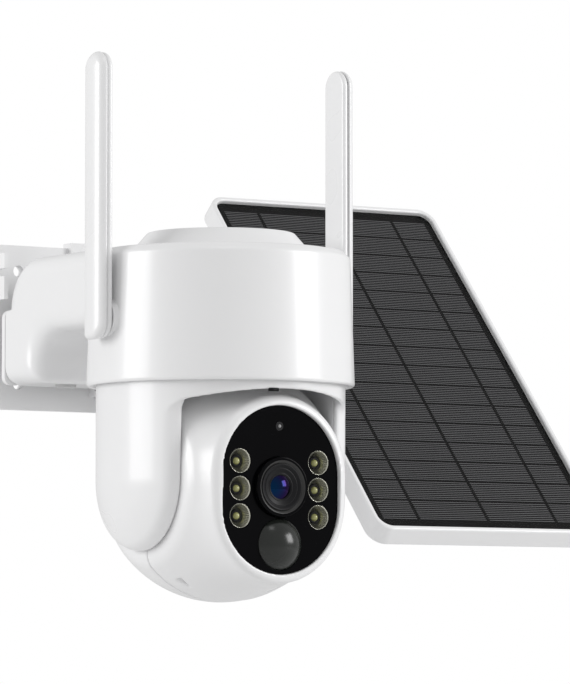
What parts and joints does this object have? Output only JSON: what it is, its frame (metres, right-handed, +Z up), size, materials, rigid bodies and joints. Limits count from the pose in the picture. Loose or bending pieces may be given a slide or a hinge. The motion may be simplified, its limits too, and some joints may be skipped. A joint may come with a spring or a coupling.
{
  "type": "solar-powered security camera",
  "caption": "Wall-mounted pan and tilt security camera with a drum head, folding antennas and a tilting solar panel on a bracket arm.",
  "frame": {"origin": "centre of the wall plate's back face, in the middle of its four screw holes", "axes": "+Z up; -Y is the way the camera faces at rest, +Y is into the wall; +X is to the right of someone looking along +Y, where the solar panel is"},
  "size_m": [0.2244, 0.162, 0.2025],
  "materials": {
    "white_gloss": "smooth satin-gloss white moulding",
    "white_matte": "fine textured white moulding",
    "black_gloss": "polished black",
    "black_matte": "fine matt black",
    "pir": "smoked translucent dome",
    "reflector": "bright faceted reflector",
    "emitter": "yellow phosphor under clear resin",
    "lens": "blue-violet coated glass",
    "panel_glass": "low-iron cover glass",
    "cells": "black cells under laminate",
    "steel": "zinc-plated",
    "motor": "pressed can",
    "gear": "natural acetal",
    "pcb": "green solder mask",
    "battery": "shrink sleeve",
    "rubber": "soft grey elastomer",
    "brass": "etched copper strip",
    "speaker": "paper cone in a plastic basket",
    "key": "fine textured light grey"
  },
  "bodies": {
    "mount": {"wall_plate": "white_matte", "base_housing": "white_gloss", "base_back": "white_matte", "charge_socket": "steel", "base_screws": "steel", "head_shell": "white_gloss", "top_cap": "white_gloss", "head_floor": "white_matte", "battery_cells": "battery", "main_board": "pcb", "pan_motor": "motor", "pan_bearing": "gear", "head_screws": "steel", "panel_arm": "white_matte"},
    "port_flap": {"port_cover": "rubber"},
    "power_key": {"power_button": "key"},
    "reset_key": {"reset_button": "key"},
    "pan_drive": {"pan_pinion": "gear"},
    "yoke": {"yoke": "white_gloss", "yoke_liners": "white_gloss", "pan_hub": "steel", "pan_gear": "gear", "tilt_pins": "steel", "tilt_gear": "gear", "yoke_screws": "steel"},
    "ball": {"ball_front": "white_gloss", "ball_rear": "white_gloss", "bezel": "white_gloss", "front_glass": "black_gloss", "lens_barrel": "black_matte", "lens_ring": "black_matte", "lens_glass": "lens", "sensor_board": "pcb", "led_board": "pcb", "led_reflectors": "reflector", "led_emitters": "emitter", "pir_lens": "pir", "pir_sensor": "motor", "light_sensor": "black_matte", "speaker": "speaker", "tilt_motor": "motor", "ball_screws": "steel"},
    "tilt_drive": {"tilt_pinion": "gear"},
    "antenna_left": {"antenna_left_outer": "white_gloss", "antenna_left_inner": "white_gloss", "antenna_left_element": "brass", "antenna_left_pin": "steel"},
    "antenna_right": {"antenna_right_outer": "white_gloss", "antenna_right_inner": "white_gloss", "antenna_right_element": "brass", "antenna_right_pin": "steel"},
    "panel": {"panel_frame": "white_gloss", "panel_cells": "cells", "panel_glass": "panel_glass", "panel_back": "white_matte", "junction_box": "white_matte", "panel_fork": "white_matte", "panel_screws": "steel", "pivot_bolt": "steel"},
    "knob": {"tilt_knob": "black_matte"}
  },
  "joints": [
    {"name": "pan", "type": "hinge", "parent": "mount", "child": "yoke", "pos_m": [0, -0.112, -0.028], "axis": [0, 0, 1], "range_deg": [-175, 175]},
    {"name": "pan_pinion_spin", "type": "hinge", "parent": "mount", "child": "pan_drive", "pos_m": [-0.03101, -0.12329, -0.0055], "axis": [0, 0, 1], "range_deg": [-550, 550]},
    {"name": "tilt", "type": "hinge", "parent": "yoke", "child": "ball", "pos_m": [0, -0.112, -0.063], "axis": [1, 0, 0], "range_deg": [-10, 80]},
    {"name": "tilt_pinion_spin", "type": "hinge", "parent": "ball", "child": "tilt_drive", "pos_m": [-0.0285, -0.09786, -0.04886], "axis": [1, 0, 0], "range_deg": [-27, 207]},
    {"name": "antenna_left_turn", "type": "hinge", "parent": "mount", "child": "antenna_left", "pos_m": [-0.0507, -0.112, -0.004], "axis": [1, 0, 0], "range_deg": [-90, 90]},
    {"name": "antenna_right_turn", "type": "hinge", "parent": "mount", "child": "antenna_right", "pos_m": [0.0507, -0.112, -0.004], "axis": [1, 0, 0], "range_deg": [-90, 90]},
    {"name": "panel_tilt", "type": "hinge", "parent": "mount", "child": "panel", "pos_m": [0.1135, -0.05117, -0.02806], "axis": [1, 0, 0], "range_deg": [0, 42]},
    {"name": "knob_turn", "type": "hinge", "parent": "panel", "child": "knob", "pos_m": [0.128, -0.05117, -0.02806], "axis": [1, 0, 0], "range_deg": [-180, 180]},
    {"name": "port_cover_open", "type": "hinge", "parent": "mount", "child": "port_flap", "pos_m": [0.014, -0.0158, -0.0239], "axis": [1, 0, 0], "range_deg": [0, 110]},
    {"name": "power_press", "type": "slide", "parent": "mount", "child": "power_key", "axis": [0, 0, 1], "range_m": [0, 0.001], "stiffness_N_per_m": 300},
    {"name": "reset_press", "type": "slide", "parent": "mount", "child": "reset_key", "axis": [0, 0, 1], "range_m": [0, 0.0008], "stiffness_N_per_m": 200}
  ],
  "couplings": [
    {"joint": "pan_pinion_spin", "follows": "pan", "ratio": -3.125},
    {"joint": "tilt_pinion_spin", "follows": "tilt", "ratio": 2.5714}
  ]
}
